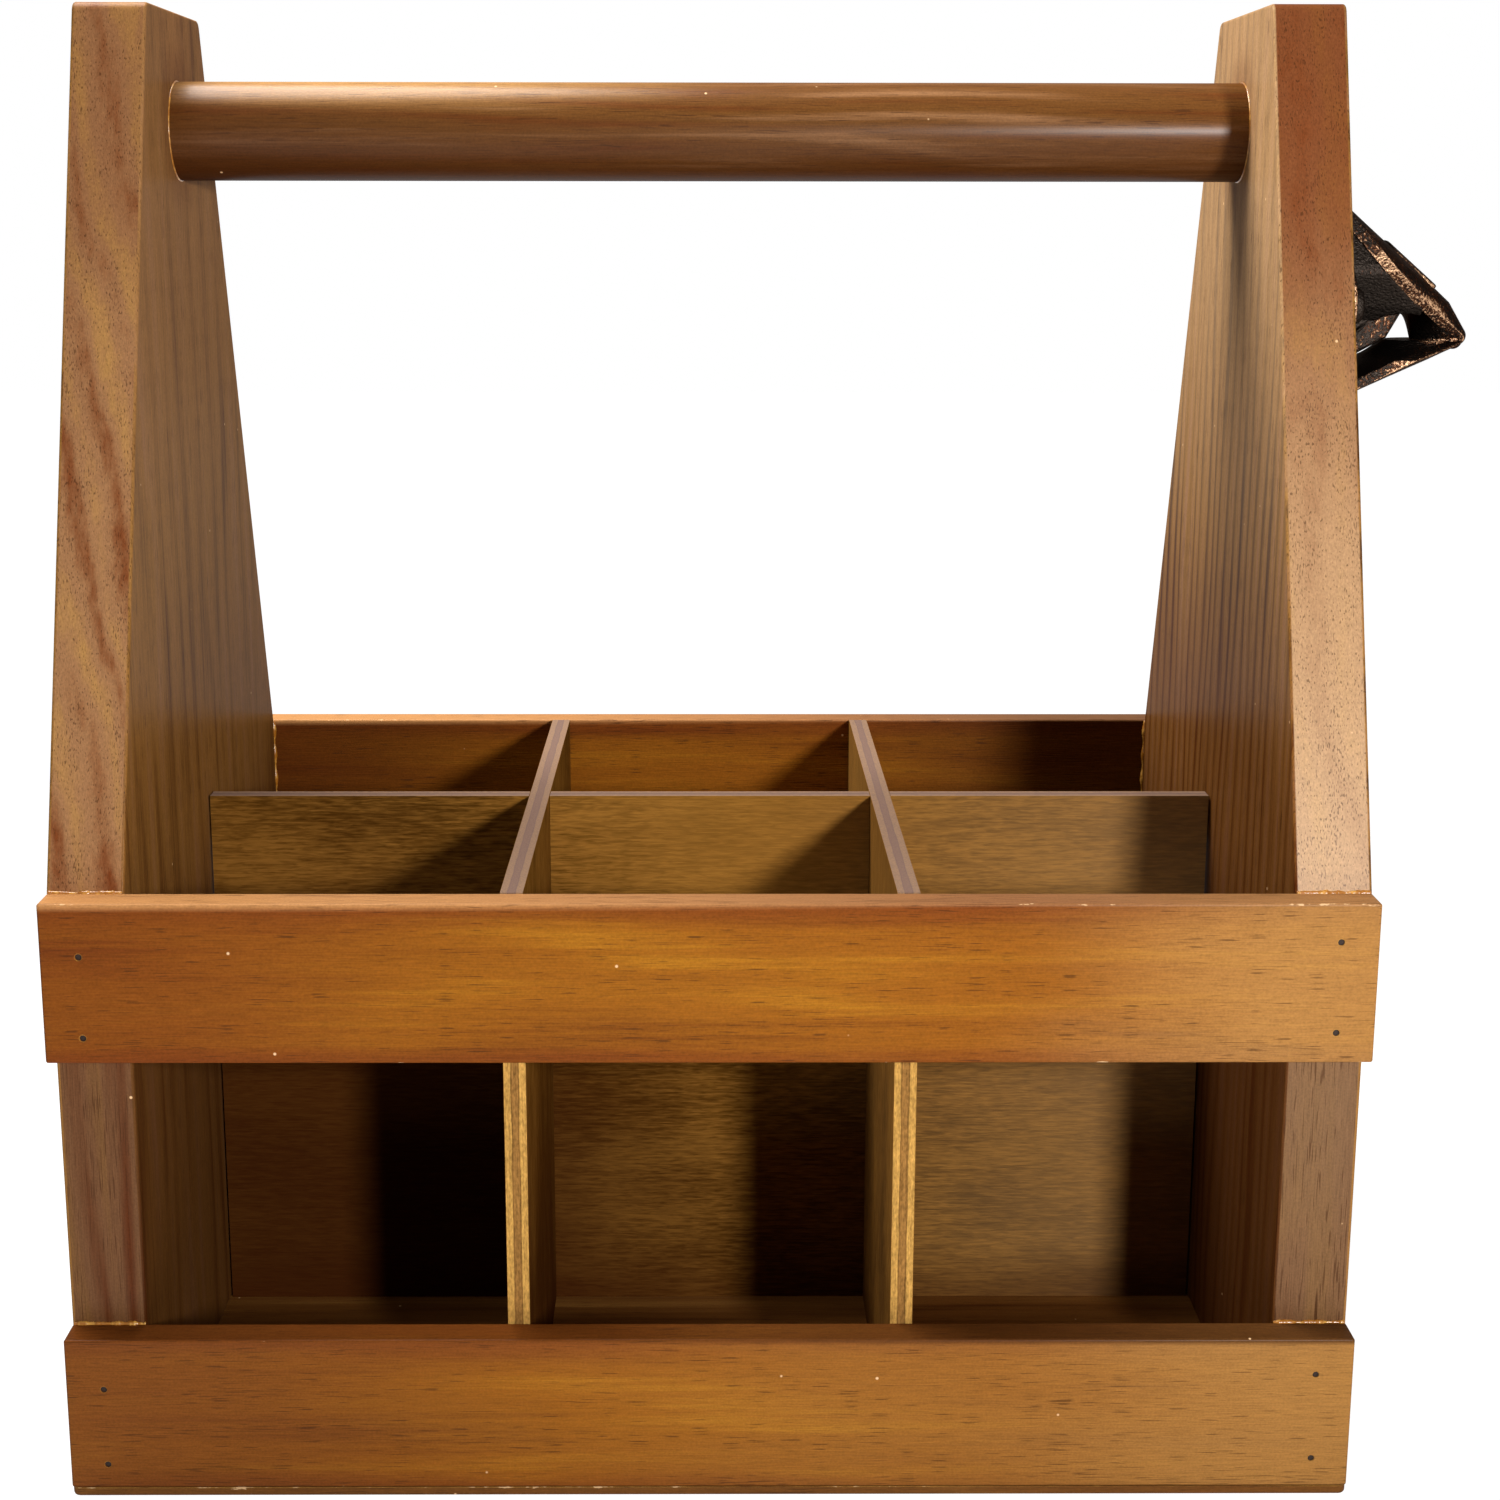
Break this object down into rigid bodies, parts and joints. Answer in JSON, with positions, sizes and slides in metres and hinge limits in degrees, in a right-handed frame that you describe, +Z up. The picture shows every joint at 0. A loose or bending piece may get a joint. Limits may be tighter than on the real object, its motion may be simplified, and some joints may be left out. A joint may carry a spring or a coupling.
{
  "type": "bottle caddy",
  "caption": "Stained wooden bottle carrier with tapered ends, a round handle, slatted sides, a loose divider crate that lifts out, and a cast opener on one end.",
  "frame": {"origin": "middle of the bottom board's underside, where the caddy stands", "axes": "+X along the handle towards the end with the bottle opener, +Y from front to back, +Z up"},
  "size_m": [0.2926, 0.1794, 0.294],
  "materials": {
    "panel_wood": "satin varnish over brown stain",
    "slat_wood": "satin varnish over honey stain",
    "handle_wood": "satin varnish over brown stain",
    "board_wood": "satin varnish over brown stain",
    "divider_plywood": "dull stain",
    "opener_casting": "antique copper plating, worn bright on the edges",
    "screw_steel": "antique copper plating",
    "brad_steel": "dull, darkened by stain"
  },
  "bodies": {
    "carcass": {"left_end_panel": "panel_wood", "right_end_panel": "panel_wood", "handle_rod": "handle_wood", "bottom_board": "board_wood", "bottom_board_brads": "brad_steel", "bottle_opener": "opener_casting", "front_opener_screw": "screw_steel", "rear_opener_screw": "screw_steel", "front_lower_slat": "slat_wood", "front_upper_slat": "slat_wood", "back_lower_slat": "slat_wood", "back_upper_slat": "slat_wood", "front_lower_slat_brads": "brad_steel", "front_upper_slat_brads": "brad_steel", "back_lower_slat_brads": "brad_steel", "back_upper_slat_brads": "brad_steel"},
    "divider_crate": {"long_divider": "divider_plywood", "left_cross_divider": "divider_plywood", "right_cross_divider": "divider_plywood"}
  },
  "joints": [
    {"name": "crate_lift", "type": "slide", "parent": "carcass", "child": "divider_crate", "axis": [0, 0, 1], "range_m": [0, 0.125]}
  ]
}
